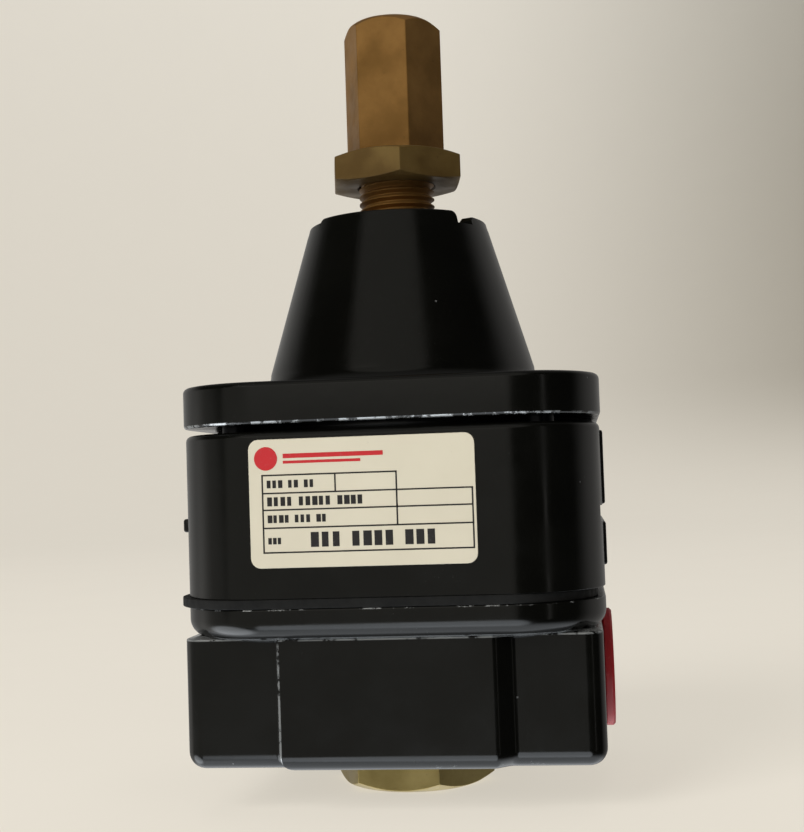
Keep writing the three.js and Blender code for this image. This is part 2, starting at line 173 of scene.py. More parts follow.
def loft(name, rings, closed=False):
    """A skin over rings of equal length: capped at both ends, or joined end to end."""
    count = len(rings[0])
    vertices = [point for one in rings for point in one]
    faces = []
    pairs = list(zip(range(len(rings) - 1), range(1, len(rings))))
    if closed:
        pairs.append((len(rings) - 1, 0))
    for a, b in pairs:
        for i in range(count):
            j = (i + 1) % count
            faces.append((a * count + i, a * count + j, b * count + j, b * count + i))
    if not closed:
        faces.append(tuple(reversed(range(count))))
        last = (len(rings) - 1) * count
        faces.append(tuple(range(last, last + count)))
    return mesh_object(name, vertices, faces)


def turned(name, profile, segments=96, closed=False):
    """A lathe shape about Z from (radius, z) points. Open profiles start and end on the axis."""
    if closed:
        return loft(name, [circle(r, z, segments) for r, z in profile], closed=True)
    vertices, faces, rows = [], [], []
    for r, z in profile:
        points = [(0, 0, z)] if r < 1e-6 else circle(r, z, segments)
        rows.append(range(len(vertices), len(vertices) + len(points)))
        vertices += points
    for low, high in zip(rows, rows[1:]):
        for i in range(segments):
            j = (i + 1) % segments
            ring = [low[i % len(low)], low[j % len(low)], high[j % len(high)], high[i % len(high)]]
            face = list(dict.fromkeys(ring))
            if len(face) > 2:
                faces.append(face)
    return mesh_object(name, vertices, faces)


def circle(radius, z, segments):
    turn = 2 * math.pi / segments
    return [(radius * math.cos(i * turn), radius * math.sin(i * turn), z) for i in range(segments)]


def quarter(steps):
    """Angles that divide a quarter turn, with both its ends."""
    return [k * QUARTER_TURN / steps for k in range(steps + 1)]


def rounded_polygon(corners, steps, inset=0.0):
    """Points along a closed outline, counter-clockwise. Each corner is (x, y, radius)."""
    points = []
    for i, (x, y, radius) in enumerate(corners):
        here = Vector((x, y))
        before = (here - Vector(corners[i - 1][:2])).normalized()
        after = (Vector(corners[(i + 1) % len(corners)][:2]) - here).normalized()
        turn = math.atan2(before.x * after.y - before.y * after.x, before.dot(after))
        out = Vector((before.y + after.y, -before.x - after.x))
        here = here - out * (inset / (1 + before.dot(after)))
        bend = max(radius - inset, 0.03) if turn > 0 else radius
        start = here - before * bend * math.tan(abs(turn) / 2)
        side = math.copysign(bend, turn)
        centre = start + Vector((-before.y, before.x)) * side
        spoke = start - centre
        for k in range(steps + 1):
            angle = turn * k / steps
            c, s = math.cos(angle), math.sin(angle)
            points.append((centre.x + c * spoke.x - s * spoke.y,
                           centre.y + s * spoke.x + c * spoke.y))
    return points


def square_corners(half_x, half_y, radius):
    return [(sx * half_x, sy * half_y, radius) for sx, sy in SQUARE_SIGNS]


def stack(name, corners, levels, steps):
    """An outline swept up through levels of (z, inset)."""
    rings = []
    for z, inset in levels:
        rings.append([(x, y, z) for x, y in rounded_polygon(corners, steps, inset)])
    return loft(name, rings)


def edge_up(z, radius, steps):
    """Levels of a rounded bottom edge, from its flat face outwards."""
    return [(z + radius * (1 - math.cos(a)), radius * (1 - math.sin(a))) for a in quarter(steps)]


def edge_down(z, radius, steps):
    """Levels of a rounded top edge, ending on its flat face."""
    return [(2 * z - level, inset) for level, inset in reversed(edge_up(z, radius, steps))]


def thread(name, major, minor, pitch, low, high, columns=72):
    """A right-handed V-thread on a solid core, longer than low..high so that it can be trimmed."""
    half_way = major - (major - minor) / 2
    # One turn's section: (share of the pitch, radius)
    section = [(0.0, major), (0.12, major), (0.31, half_way),
               (0.5, minor), (0.62, minor), (0.81, half_way)]
    per_turn = len(section)
    turns = math.ceil((high - low) / pitch) + 2
    rows = turns * per_turn
    vertices = []
    for j in range(columns):
        angle = 2 * math.pi * j / columns
        for i in range(rows + per_turn):
            phase, radius = section[i % per_turn]
            z = low + pitch * (i // per_turn - 2 + phase + j / columns)
            vertices.append((radius * math.cos(angle), radius * math.sin(angle), z))
    column = rows + per_turn

    def index(i, j):
        return (j * column + i) if j < columns else i + per_turn

    faces = []
    for j in range(columns):
        for i in range(rows - 1):
            faces.append((index(i, j), index(i, j + 1), index(i + 1, j + 1), index(i + 1, j)))
    last = rows - 1
    seam = range(per_turn, 0, -1)
    foot = [index(0, j) for j in range(columns)] + [index(i, 0) for i in seam]
    head = [index(last, j) for j in range(columns)] + [index(last + i, 0) for i in seam]
    for loop, z in ((foot, low - 2 * pitch), (head, high + 2 * pitch)):
        vertices.append((0, 0, z))
        hub = len(vertices) - 1
        for a, b in zip(loop, loop[1:] + loop[:1]):
            faces.append((a, b, hub))
    obj = mesh_object(name, vertices, faces)
    work = bmesh.new()
    work.from_mesh(obj.data)
    loose = [v for v in work.verts if not v.link_faces]
    bmesh.ops.delete(work, geom=loose, context="VERTS")
    work.to_mesh(obj.data)
    work.free()
    return obj


# ---------- Joining, cutting and placing ----------

def combine(target, others, operation):
    """Joins, cuts or intersects target with the others, which are used up."""
    for other in others:
        step = target.modifiers.new("combine", "BOOLEAN")
        step.object = other
        step.operation = operation
        step.solver = "EXACT"
    bake(target)
    for other in others:
        bpy.data.objects.remove(other, do_unlink=True)
    return target


def bake(obj):
    """Replaces an object's mesh by what its modifiers make of it."""
    bpy.context.view_layer.update()
    graph = bpy.context.evaluated_depsgraph_get()
    mesh = bpy.data.meshes.new_from_object(obj.evaluated_get(graph))
    obj.modifiers.clear()
    obj.data = mesh
    tidy(obj, 0.0002)


def move(obj, matrix):
    obj.data.transform(matrix)
    obj.data.update()
    return obj


def shift(obj, x=0.0, y=0.0, z=0.0):
    return move(obj, Matrix.Translation(Vector((x, y, z)) * MM))


def along_x(obj):
    """Turns a shape made along Z so that it lies along X, at the height of the ports."""
    move(obj, Matrix.Rotation(QUARTER_TURN, 4, "Y"))
    return shift(obj, z=PORT_Z)


def along_y(obj, height):
    """Turns a shape made along Z so that it points to the back, at a height."""
    move(obj, Matrix.Rotation(-QUARTER_TURN, 4, "X"))
    return shift(obj, z=height)


def soften(obj, width):
    """Small real rounding on every hard edge."""
    bevel = obj.modifiers.new("soften", "BEVEL")
    bevel.width = width * MM
    bevel.segments = 2
    bevel.limit_method = "ANGLE"
    bevel.angle_limit = math.radians(25)
    bevel.harden_normals = False
    bevel.miter_outer = "MITER_ARC"
    bake(obj)


def finish_piece(obj, material, body, replaced, sharp_angle=34):
    """Gives a mesh its material and shading, hides the CAD nodes it stands for and hangs it on its
    body.
    """
    obj.data.materials.clear()
    obj.data.materials.append(material)
    obj.data.shade_smooth()
    obj.data.set_sharp_from_angle(angle=math.radians(sharp_angle))
    normals = obj.modifiers.new("normals", "WEIGHTED_NORMAL")
    normals.keep_sharp = True
    normals.weight = 100
    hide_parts(*replaced)
    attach(obj, body)


# ---------- Materials ----------

class Shader:
    """A Principled material with a few short ways to add texture nodes in object space."""

    def __init__(self, name, **sockets):
        self.material = bpy.data.materials.new(name)
        self.material.use_nodes = True
        self.tree = self.material.node_tree
        self.principled = self.tree.nodes["Principled BSDF"]
        self.place = self.tree.nodes.new("ShaderNodeTexCoord").outputs["Object"]
        for socket, value in sockets.items():
            self.principled.inputs[socket.replace("_", " ")].default_value = value

    def feed(self, socket, value):
        """Links a node's output to a socket, or sets a plain value on it."""
        if isinstance(value, bpy.types.NodeSocket):
            self.tree.links.new(value, socket)
        else:
            socket.default_value = value

    def make(self, kind, inputs, **settings):
        made = self.tree.nodes.new(kind)
        for key, value in settings.items():
            setattr(made, key, value)
        for key, value in inputs.items():
            self.feed(made.inputs[key], value)
        return made

    def stretched(self, x, y, z):
        inputs = {"Vector": self.place, "Scale": (x, y, z)}
        return self.make("ShaderNodeMapping", inputs).outputs["Vector"]

    def noise(self, size, detail=3.0, rough=0.55, place=None):
        """Noise with features of about that size in millimetres."""
        inputs = {"Vector": place or self.place, "Scale": 1 / (size * MM),
                  "Detail": detail, "Roughness": rough}
        return self.make("ShaderNodeTexNoise", inputs).outputs["Fac"]

    def cells(self, size):
        inputs = {"Vector": self.place, "Scale": 1 / (size * MM)}
        return self.make("ShaderNodeTexVoronoi", inputs).outputs["Distance"]

    def fade(self, value, low, high, start=0.0, end=1.0):
        """Maps value smoothly from low..high to start..end."""
        inputs = {"Value": value, "From Min": low, "From Max": high, "To Min": start, "To Max": end}
        made = self.make("ShaderNodeMapRange", inputs, interpolation_type="SMOOTHSTEP")
        return made.outputs["Result"]

    def math(self, operation, a, b=0.0):
        return self.make("ShaderNodeMath", {0: a, 1: b}, operation=operation).outputs[0]

    def times(self, a, b):
        return self.math("MULTIPLY", a, b)

    def mix(self, factor, a, b):
        """Blends two colours. The numbered sockets are the node's colour ones."""
        made = self.make("ShaderNodeMix", {}, data_type="RGBA")
        for socket, value in ((made.inputs[0], factor), (made.inputs[6], a), (made.inputs[7], b)):
            self.feed(socket, value)
        return made.outputs[2]

    def axis(self, name):
        """One coordinate of the place in the object, in metres."""
        return self.make("ShaderNodeSeparateXYZ", {"Vector": self.place}).outputs[name]

    def set(self, socket, value):
        self.tree.links.new(value, self.principled.inputs[socket])

    def set_roughness(self, noise, low, high):
        """Roughness that wanders between low and high."""
        self.set("Roughness", self.fade(noise, 0.3, 0.7, low, high))

    def bump(self, layers):
        """Stacks (height, strength, distance in millimetres) layers of fine relief."""
        normal = None
        for height, strength, distance in layers:
            inputs = {"Height": height, "Strength": strength, "Distance": distance * MM}
            if normal is not None:
                inputs["Normal"] = normal
            normal = self.make("ShaderNodeBump", inputs).outputs["Normal"]
        self.set("Normal", normal)


ENAMEL = ((0.0012, 0.0012, 0.0009, 1), (0.0032, 0.0032, 0.0024, 1))
ENAMEL_DUST = (0.08, 0.08, 0.075, 1)
BARE_CASTING = (0.36, 0.37, 0.37, 1)
BARE_METALLIC = 0.7

# Worn lines round the castings: (height, half width, share of the line that keeps its paint)
WORN_LINES = (
    (SHOULDER_BOTTOM, 0.32, 0.46),
    (JOINT_LOW - 0.12, 0.10, 0.59),
    (FLANGE_BOTTOM + 0.2, 0.2, 0.52),
    (BLOCK_BOTTOM + 0.6, 0.35, 0.65),
)


def casting_paint():
    """Glossy black enamel with fine dust, a few chips and worn edges."""
    s = Shader("black_enamel", Specular_IOR_Level=0.5)
    base = s.mix(s.noise(14, 4), *ENAMEL)
    dust = s.times(s.fade(s.noise(0.3, 5, 0.7), 0.6, 0.76), s.fade(s.noise(9, 3), 0.45, 0.72))
    base = s.mix(s.times(dust, 0.22), base, ENAMEL_DUST)
    chips = s.times(s.fade(s.cells(2.3), 0.085, 0.045), s.fade(s.noise(6, 2), 0.64, 0.72))
    worn = s.math("MAXIMUM", worn_lines(s), worn_slab_edge(s))
    bare = s.math("MAXIMUM", worn, chips)
    s.set("Base Color", s.mix(bare, base, BARE_CASTING))
    s.set("Metallic", s.times(bare, BARE_METALLIC))
    rough = s.fade(s.noise(7, 5, 0.6), 0.3, 0.7, 0.13, 0.22)
    s.set("Roughness", s.math("ADD", rough, s.times(dust, 0.25)))
    s.bump([(s.noise(2.2, 2), 0.10, 0.10), (s.noise(0.28, 3), 0.08, 0.02), (bare, 0.4, -0.03)])
    return s.material


def worn_lines(s):
    """Broken level lines of bare metal where the castings' edges rub."""
    height = s.axis("Z")
    broken = s.noise(2.2, 6, 0.7)
    patches = s.noise(13, 2)
    worn = 0.0
    for level, half, painted in WORN_LINES:
        off = s.math("ABSOLUTE", s.math("SUBTRACT", height, level * MM))
        line = s.fade(off, half * MM, half * 0.5 * MM)
        gaps = s.fade(broken, painted - 0.06, painted + 0.02)
        there = s.times(gaps, s.fade(patches, 0.36, 0.5))
        worn = s.math("MAXIMUM", worn, s.times(line, there))
    return worn


def worn_slab_edge(s):
    """The rubbed upright edge on the left of the block's raised slab."""
    low = s.fade(s.axis("Z"), (SHOULDER_BOTTOM - 0.4) * MM, (SHOULDER_BOTTOM - 1.4) * MM)
    front = s.fade(s.axis("Y"), -(BLOCK_HALF_Y + 0.3) * MM, -(BLOCK_HALF_Y + 0.9) * MM)
    beside = s.math("ABSOLUTE", s.math("ADD", s.axis("X"), (SLAB_HALF_X - 0.15) * MM))
    upright = s.times(s.fade(beside, 0.26 * MM, 0.12 * MM), s.times(low, front))
    rubbed = s.fade(s.noise(2.4, 5, 0.7), 0.44, 0.54)
    return s.times(upright, rubbed)


def old_brass(name, dark, light, rough=(0.38, 0.54), metallic=0.65):
    """Tarnished brass: a thin dull film over metal, so it is partly a plain reflector."""
    s = Shader(name, Metallic=metallic, Specular_IOR_Level=0.5)
    tone = s.mix(s.fade(s.noise(7, 4, 0.55), 0.32, 0.7), dark, light)
    spots = s.times(s.fade(s.noise(0.8, 4, 0.65), 0.62, 0.78), 0.5)
    spot_colour = (dark[0] * 0.4, dark[1] * 0.38, dark[2] * 0.45, 1)
    s.set("Base Color", s.mix(spots, tone, spot_colour))
    s.set_roughness(s.noise(3, 4), *rough)
    drawn = s.noise(0.16, 3, place=s.stretched(1, 1, 0.03))
    s.bump([(drawn, 0.08, 0.03), (s.noise(1.2, 3), 0.08, 0.05)])
    return s.material


def turned_metal(name, colour, rough=(0.22, 0.38)):
    """Clean metal with fine rings from the lathe."""
    s = Shader(name, Metallic=1.0)
    shade = (colour[0] * 0.7, colour[1] * 0.7, colour[2] * 0.7, 1)
    s.set("Base Color", s.mix(s.noise(4, 4), shade, (*colour, 1)))
    s.set_roughness(s.noise(1.5, 4), *rough)
    rings = s.noise(0.12, 2, place=s.stretched(0.02, 0.02, 1))
    s.bump([(rings, 0.12, 0.03)])
    return s.material


def black_rubber():
    s = Shader("black_rubber", Specular_IOR_Level=0.2)
    dark, light = (0.005, 0.005, 0.005, 1), (0.014, 0.014, 0.013, 1)
    s.set("Base Color", s.mix(s.noise(3, 4), dark, light))
    s.set_roughness(s.noise(1, 4), 0.5, 0.75)
    s.bump([(s.noise(0.25, 3), 0.2, 0.03)])
    return s.material


def red_plastic():
    """Soft moulded polythene with paler scuffs."""
    s = Shader("red_polythene", Specular_IOR_Level=0.45,
               Subsurface_Weight=0.12, Subsurface_Scale=0.001)
    s.principled.inputs["Subsurface Radius"].default_value = (1.0, 0.2, 0.1)
    dark, light, scuffed = (0.30, 0.007, 0.011, 1), (0.41, 0.012, 0.018, 1), (0.62, 0.16, 0.15, 1)
    scuff = s.fade(s.noise(0.7, 5, 0.7), 0.55, 0.75)
    base = s.mix(s.noise(5, 3), dark, light)
    s.set("Base Color", s.mix(s.times(scuff, 0.25), base, scuffed))
    s.set_roughness(s.noise(2, 4), 0.38, 0.55)
    s.bump([(s.noise(0.4, 3), 0.15, 0.03)])
    return s.material


def label_film():
    """Aged cream film with a few small stains."""
    s = Shader("label_film", Specular_IOR_Level=0.45)
    dark, light, stained = (0.60, 0.55, 0.43, 1), (0.68, 0.63, 0.50, 1), (0.25, 0.22, 0.17, 1)
    base = s.mix(s.noise(9, 4), dark, light)
    stain = s.times(s.fade(s.noise(0.5, 5, 0.7), 0.62, 0.78), s.fade(s.noise(4, 2), 0.5, 0.65))
    s.set("Base Color", s.mix(s.times(stain, 0.55), base, stained))
    s.set_roughness(s.noise(4, 3), 0.34, 0.5)
    s.bump([(s.noise(2.5, 2), 0.08, 0.05)])
    return s.material


def print_ink(name, colour):
    s = Shader(name, Specular_IOR_Level=0.4)
    faded = tuple(0.75 * c + 0.06 for c in colour)
    wear = s.fade(s.noise(0.5, 4, 0.7), 0.55, 0.8)
    s.set("Base Color", s.mix(wear, (*colour, 1), (*faded, 1)))
    s.set_roughness(s.noise(1, 3), 0.4, 0.55)
    return s.material


PAINT = casting_paint()
BRASS = old_brass("old_brass", (0.21, 0.105, 0.024, 1), (0.32, 0.165, 0.045, 1))
NUT_BRASS = old_brass("nut_brass", (0.105, 0.06, 0.015, 1), (0.175, 0.11, 0.033, 1), metallic=0.45)
PLUG_BRASS = old_brass("plug_brass", (0.32, 0.235, 0.075, 1), (0.45, 0.34, 0.125, 1), (0.30, 0.44))
INNER_BRASS = turned_metal("inner_brass", (0.62, 0.45, 0.18))
STEEL = turned_metal("plated_steel", (0.46, 0.47, 0.48))
BLACK_STEEL = turned_metal("black_oxide_steel", (0.035, 0.035, 0.038), (0.3, 0.45))
SPRING = turned_metal("spring_wire", (0.26, 0.27, 0.28))
ALUMINIUM = turned_metal("turned_aluminium", (0.55, 0.56, 0.57))
RUBBER = black_rubber()
RED = red_plastic()
FILM = label_film()
INK = print_ink("black_ink", (0.018, 0.016, 0.015))
RED_INK = print_ink("red_ink", (0.50, 0.025, 0.03))


# ---------- Castings ----------

def block_corners():
    """The block's outline: square with a raised slab in the middle of its front and back."""
    x, y = BLOCK_HALF_X, BLOCK_HALF_Y
    slope_start, slope_end = SLAB_RIGHT_SLOPE
    front = [
        (-x, -y, BLOCK_CORNER),
        (-SLAB_HALF_X - 0.1, -y, 0.7),
        (-SLAB_HALF_X, -SLAB_HALF_Y, 0.5),
        (SLAB_HALF_X + slope_start, -SLAB_HALF_Y, 1.4),
        (SLAB_HALF_X + slope_end, -y, 1.2),
        (x, -y, BLOCK_CORNER),
    ]
    return front + [(-px, -py, r) for px, py, r in front]


def shoulder_levels():
    """The wide ring and its rounded under-edge, from inside the block up to the joint."""
    levels = [(SHOULDER_BOTTOM - 1.1, SHOULDER_ROUND + 3),
              (SHOULDER_BOTTOM - 0.2, SHOULDER_ROUND + 0.9)]
    return levels + edge_up(SHOULDER_BOTTOM, SHOULDER_ROUND, 10) + edge_down(JOINT_LOW, 0.25, 2)


def build_lower_body():
    top = SHOULDER_BOTTOM
    # The block's top edge, then a cone that ends inside the shoulder
    inside = [(top - 0.2, 0), (top - 0.06, 0.06), (top, 0.2), (top + 0.25, 1.6), (top + 1, 4)]
    levels = edge_up(BLOCK_BOTTOM, BLOCK_UNDER_EDGE, 8) + inside
    block = stack("lower_body_casting", block_corners(), levels, 6)
    outline = square_corners(BODY_HALF, BODY_HALF, CORNER_RADIUS)
    combine(block, [stack("shoulder", outline, shoulder_levels(), 20)], "UNION")
    combine(block, port_cutters() + [gauge_cutter(), valve_bore()], "DIFFERENCE")
    finish_piece(block, PAINT, "root", ["lower_body"])


def port_cutters():
    """The two tapped ports, each with its mouth and the drilling at its end."""
    face = BLOCK_HALF_X
    tools = []
    for side in (-1, 1):
        bore = thread("port_thread", PORT_RADIUS + PORT_THREAD_DEPTH, PORT_RADIUS,
                      PORT_THREAD_PITCH, PORT_END + 0.5, face + 1, 64)
        envelope = turned("port_envelope", [
            (0, PORT_END), (7, PORT_END), (7, face + 1), (0, face + 1)], 64)
        combine(bore, [envelope], "INTERSECT")
        mouth = turned("port_mouth", [
            (0, face - 1.2), (5.6, face - 1.2), (7.2, face + 0.4), (0, face + 0.4)], 64)
        inner = turned("port_inner", [
            (0, 5.5), (2.5, 5.5), (2.5, PORT_END + 0.3), (0, PORT_END + 0.3)], 32)
        for tool in (bore, mouth, inner):
            along_x(tool)
            if side < 0:
                move(tool, Matrix.Rotation(math.pi, 4, "Z"))
            tools.append(tool)
    return tools


def gauge_cutter():
    """The gauge hole in the back of the slab."""
    face = SLAB_HALF_Y
    hole = turned("gauge_hole", [
        (0, 15), (GAUGE_RADIUS, 15), (GAUGE_RADIUS, face - 0.7), (GAUGE_RADIUS + 0.8, face + 0.3),
        (0, face + 0.3)], 48)
    return along_y(hole, PORT_Z)


def valve_bore():
    """The stepped bore for the bottom plug, valve and relay hub, up to the relay chamber."""
    low = BLOCK_BOTTOM
    return turned("valve_bore", [
        (0, low - 1), (9.6, low - 1), (9.2, low + 0.2), (9.2, low + 1.7), (7.7, low + 1.7),
        (7.7, 12.5), (6.2, 12.5), (6.2, 17.5), (3.2, 17.5), (3.2, 22.3), (15, 22.3),
        (15, JOINT_LOW + 1), (0, JOINT_LOW + 1)], 64)


def build_middle_body():
    outline = square_corners(BODY_HALF, BODY_HALF, CORNER_RADIUS)
    levels = edge_up(JOINT_HIGH, 0.06, 1) + edge_down(MIDDLE_TOP, 0.8, 4)
    body = stack("middle_body_casting", outline, levels, 20)
    combine(body, side_marks(), "UNION")
    half = BODY_HALF - 0.6
    groove = stack("groove", [
        (half, -18.5, 0.2), (40, -18.5, 0.2), (40, 18.5, 0.2), (half, 18.5, 0.2)],
        [(RIB_Z[0] - 0.1, 0), (RIB_Z[1] + 0.2, 0)], 2)
    combine(body, [groove], "DIFFERENCE")
    upper = turned("control_chamber", [
        (0, 45.8), (20, 45.8), (20, MIDDLE_TOP + 1), (0, MIDDLE_TOP + 1)], 96)
    lower = turned("relay_chamber", [
        (0, JOINT_HIGH - 1), (15, JOINT_HIGH - 1), (15, 34), (2.6, 34), (2.6, 46.5), (0, 46.5)], 96)
    combine(body, [upper, lower], "DIFFERENCE")
    finish_piece(body, PAINT, "root", ["middle_body"])


def side_marks():
    """The rib on the left side and the two shallow pads on the right."""
    left, right = span("middle_body", X)
    left -= 0.3
    low, high = RIB_Z
    rib_levels = edge_up(low, 0.3, 2) + edge_down(high, 0.3, 2)
    rib = stack("lug", [
        (left, -RIB_HALF, 0.4), (0, -RIB_HALF, 0.1), (0, RIB_HALF, 0.1), (left, RIB_HALF, 0.4)],
        rib_levels, 3)
    pad_corners = [
        (0, -PAD_HALF, 0.1), (right, -PAD_HALF, 0.3), (right, PAD_HALF, 0.3), (0, PAD_HALF, 0.1)]
    pads = []
    for low, high in PAD_Z:
        pads.append(stack("pad", pad_corners, edge_up(low, 0.3, 2) + edge_down(high, 0.3, 2), 3))
    return [rib] + pads


def build_bonnet():
    outline = square_corners(FLANGE_HALF, FLANGE_HALF, CORNER_RADIUS)
    levels = edge_up(FLANGE_BOTTOM, 0.45, 3) + edge_down(FLANGE_TOP, 0.7, 4)
    flange = stack("bonnet_casting", outline, levels, 20)
    combine(flange, [turned("cone", cone_profile(), 144)] + rim_teeth(), "UNION")
    low = FLANGE_BOTTOM - 1
    inside = turned("dome", [
        (0, low), (17.5, low), (17.5, FLANGE_TOP), (CONE_TOP - 2.6, 75), (0, 75)], 96)
    close, wide = SCREW_RADIUS + 0.12, SCREW_RADIUS + 0.8
    bore = turned("bore", [
        (0, 74), (close, 74), (close, BONNET_TOP - 0.5), (wide, BONNET_TOP + 0.2),
        (wide, RIM_TOP + 1), (0, RIM_TOP + 1)], 64)
    vent = turned("vent", [(0, 0), (VENT_RADIUS, 0), (VENT_RADIUS, 30), (0, 30)], 24)
    tools = [inside, bore, along_y(vent, VENT_Z)]
    for sx, sy in SQUARE_SIGNS:
        hole = turned("screw_hole", [
            (0, low), (2.3, low), (2.3, SCREW_HOLE_SEAT), (HEAD_RADIUS + 0.3, SCREW_HOLE_SEAT),
            (HEAD_RADIUS + 0.3, FLANGE_TOP - 0.3), (HEAD_RADIUS + 0.7, FLANGE_TOP + 0.1),
            (0, FLANGE_TOP + 0.1)], 48)
        tools.append(shift(hole, sx * SCREW_SPREAD, sy * SCREW_SPREAD))
    combine(flange, tools, "DIFFERENCE")
    finish_piece(flange, PAINT, "root", ["bonnet"])


def cone_profile():
    """The cone with the hollow curve at its foot, from inside the flange to its flat top."""
    wide, tall = CONE_FILLET
    lean = CONE_SLOPE * tall
    points = [(0, FLANGE_TOP - 2), (CONE_FOOT + wide, FLANGE_TOP - 2)]
    points += [(CONE_FOOT + wide - (wide + lean) * math.sin(a),
                FLANGE_TOP + tall * (1 - math.cos(a))) for a in quarter(7)[:-1]]
    points.append((CONE_FOOT - lean, FLANGE_TOP + tall))
    return points + [(CONE_TOP, BONNET_TOP), (0, BONNET_TOP)]


def rim_teeth():
    """Raised arcs on the bonnet's flat top: (from, to, top, thinner), in degrees from the front."""
    low = RIM_TOP - TOOTH_LOW_STEP
    arcs = [(-51, 46.5, RIM_TOP, 0), (60, 131, low, TOOTH_THINNER),
            (129, 226.5, RIM_TOP, 0), (240, 311, low, TOOTH_THINNER)]
    return [arc_tooth(math.radians(a - 90), math.radians(b - 90), top, thinner)
            for a, b, top, thinner in arcs]


def arc_tooth(start, end, top, thinner):
    """One tooth: a curved bar with a rounded top and rounded ends, following the rim."""
    outer = CONE_TOP + TOOTH_PROUD - thinner
    inner = CONE_TOP - TOOTH_WIDTH + thinner
    foot = BONNET_TOP - TOOTH_ROOT - thinner
    bends = quarter(4)
    steps = 24
    near = [TOOTH_END_ROUND / outer * (1 - math.cos(a)) for a in bends]
    length = end - start - 2 * near[-1]
    angles = [start + a for a in near]
    angles += [start + near[-1] + length * (k / steps) for k in range(1, steps)]
    angles += [end - a for a in reversed(near)]
    rings = []
    for angle in angles:
        gap = min(angle - start, end - angle) * outer / TOOTH_END_ROUND
        drop = TOOTH_END_ROUND * (1 - math.sqrt(max(0.0, 1 - max(0.0, 1 - gap) ** 2)))
        crest = top - drop
        bend_foot = crest - TOOTH_TOP_ROUND
        side = outer - CONE_SLOPE * (bend_foot - BONNET_TOP)
        section = [(inner, foot), (outer - 0.05, foot), (outer, BONNET_TOP), (side, bend_foot)]
        section += [(side - TOOTH_TOP_ROUND * (1 - math.cos(a)),
                     crest - TOOTH_TOP_ROUND * (1 - math.sin(a))) for a in bends[1:]]
        section += [(inner + TOOTH_TOP_ROUND, crest), (inner, bend_foot)]
        rings.append([(r * math.cos(angle), r * math.sin(angle), z) for r, z in section])
    return loft("tooth", rings)


# ---------- Adjusting end and bottom plug ----------

def corner_radius(across_flats):
    return across_flats / math.sqrt(3)


def hex_corners(across_flats, turn, radius):
    corner = corner_radius(across_flats)
    angles = [math.radians(turn - 60 + 60 * i) for i in range(6)]
    return [(corner * math.cos(a), corner * math.sin(a), radius) for a in angles]


def hex_bar(name, across_flats, turn, envelope, edge):
    """A hexagonal bar cut to a turned envelope, with its edges rounded."""
    low, high = envelope[0][1], envelope[-1][1]
    corners = hex_corners(across_flats, turn, 0.25)
    bar_piece = stack(name, corners, [(low - 1, 0), (high + 1, 0)], 3)
    combine(bar_piece, [turned("envelope", envelope, 144)], "INTERSECT")
    soften(bar_piece, edge)
    return bar_piece


def build_adjusting_screw():
    corner = corner_radius(SCREW_HEX)
    face = SCREW_HEX / 2
    low, top = NUT_TOP + 0.02, SCREW_TOP
    head = hex_bar("adjusting_screw_brass", SCREW_HEX, HEX_TURN, [
        (0, low), (face, low), (corner, low + 0.3), (corner, top - 1.8), (face, top - 0.9),
        (face - 0.4, top - 0.6), (face - 0.85, top - 0.35), (face - 1.85, top - 0.1),
        (face - 3, top - 0.02), (0, top)], 0.1)
    shank = thread("shank", SCREW_RADIUS, SCREW_RADIUS - SCREW_THREAD_DEPTH, THREAD_PITCH,
                   SCREW_TIP, low + 1)
    wide = SCREW_RADIUS + 0.1
    trim = turned("trim", [
        (0, SCREW_TIP), (SCREW_RADIUS - 1.1, SCREW_TIP), (wide, SCREW_TIP + 1.2),
        (wide, low + 0.8), (0, low + 0.8)], 72)
    combine(shank, [trim], "INTERSECT")
    combine(head, [shank], "UNION")
    finish_piece(head, BRASS, "adjuster", ["adjusting_screw"], 30)


def build_lock_nut():
    corner = corner_radius(NUT_HEX)
    face = NUT_HEX / 2
    low, high = NUT_BOTTOM, NUT_TOP
    nut = hex_bar("lock_nut_brass", NUT_HEX, NUT_TURN, [
        (0, low), (face - 0.1, low), (corner, low + 0.45), (corner, high - 0.65),
        (face - 0.25, high), (0, high)], 0.1)
    bore = SCREW_RADIUS + 0.07
    hole = turned("nut_hole", [
        (0, low - 1), (bore + 0.9, low - 1), (bore, low + 0.3), (bore, high - 0.3),
        (bore + 1.2, high + 1), (0, high + 1)], 72)
    combine(nut, [hole], "DIFFERENCE")
    finish_piece(nut, NUT_BRASS, "lock_nut", ["lock_nut"], 30)


def build_bottom_plug():
    corner = corner_radius(PLUG_HEX)
    face = PLUG_HEX / 2
    hex_top, high = BLOCK_BOTTOM - 0.02, PLUG_SHANK_TOP
    plug = hex_bar("bottom_plug_brass", PLUG_HEX, HEX_TURN, [
        (0, 0), (face - 0.6, 0), (face - 0.1, 0.2), (corner, 1.25), (corner, hex_top),
        (0, hex_top)], 0.12)
    shank = turned("plug_shank", [(0, 5), (7.4, 5), (7.4, high), (0, high)], 64)
    combine(plug, [shank], "UNION")
    pocket = turned("pocket", [(0, 4.6), (3.9, 4.6), (3.9, high + 1), (0, high + 1)], 48)
    combine(plug, [pocket], "DIFFERENCE")
    finish_piece(plug, PLUG_BRASS, "root", ["bottom_plug"], 30)


# ---------- Seals, screws, plugs and springs ----------

